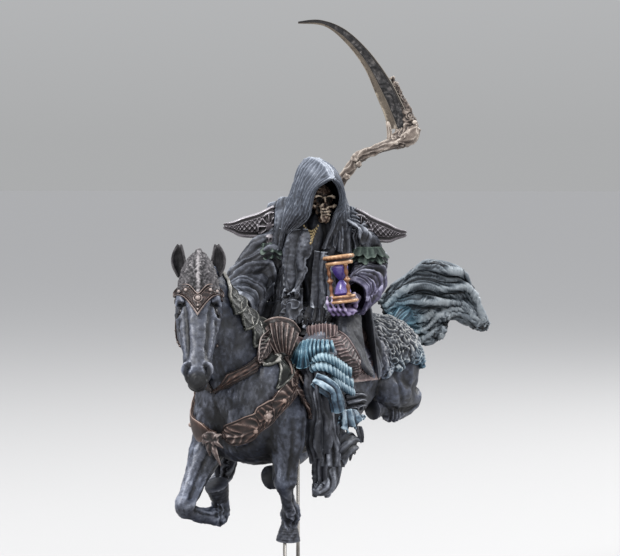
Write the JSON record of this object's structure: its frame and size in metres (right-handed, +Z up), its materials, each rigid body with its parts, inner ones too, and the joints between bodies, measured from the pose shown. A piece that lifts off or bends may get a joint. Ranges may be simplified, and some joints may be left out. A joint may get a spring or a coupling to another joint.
{
  "type": "grim reaper figurine",
  "caption": "Painted cast figurine of a hooded skeletal reaper with hourglass and scythe, riding a leaping armoured horse, on steel rods in a round turned plinth.",
  "frame": {"origin": "centre of the plinth's underside", "axes": "+Z up, -Y the way the horse faces, +X the horse's left"},
  "size_m": [0.084, 0.1237, 0.1516],
  "materials": {
    "plinth_wood": "satin black stained and lacquered wood",
    "rod_steel": "drawn steel rod",
    "horse_paint": "matt dark blue-grey paint on cast resin, dry-brushed lighter, with copper-brown harness and a blue and bone croup cover",
    "tail_paint": "matt blue-grey paint on cast resin, lighter on the strands and teal at the root",
    "robe_paint": "matt slate grey paint on cast resin, dry-brushed pale grey on the folds, with teal leg plates",
    "armour_paint": "dark metallic paint on cast resin with pale edges",
    "scythe_paint": "etched steel look paint on cast resin, with a grey-brown shaft",
    "copper_paint": "bright copper paint on cast resin, with glowing violet bulbs"
  },
  "bodies": {
    "root": {"plinth": "plinth_wood", "belly_rod": "rod_steel", "hoof_rod": "rod_steel", "horse": "horse_paint", "horse_tail": "tail_paint", "rider": "robe_paint", "left_pauldron": "armour_paint", "right_pauldron": "armour_paint", "scythe": "scythe_paint", "hourglass": "copper_paint"}
  },
  "joints": []
}
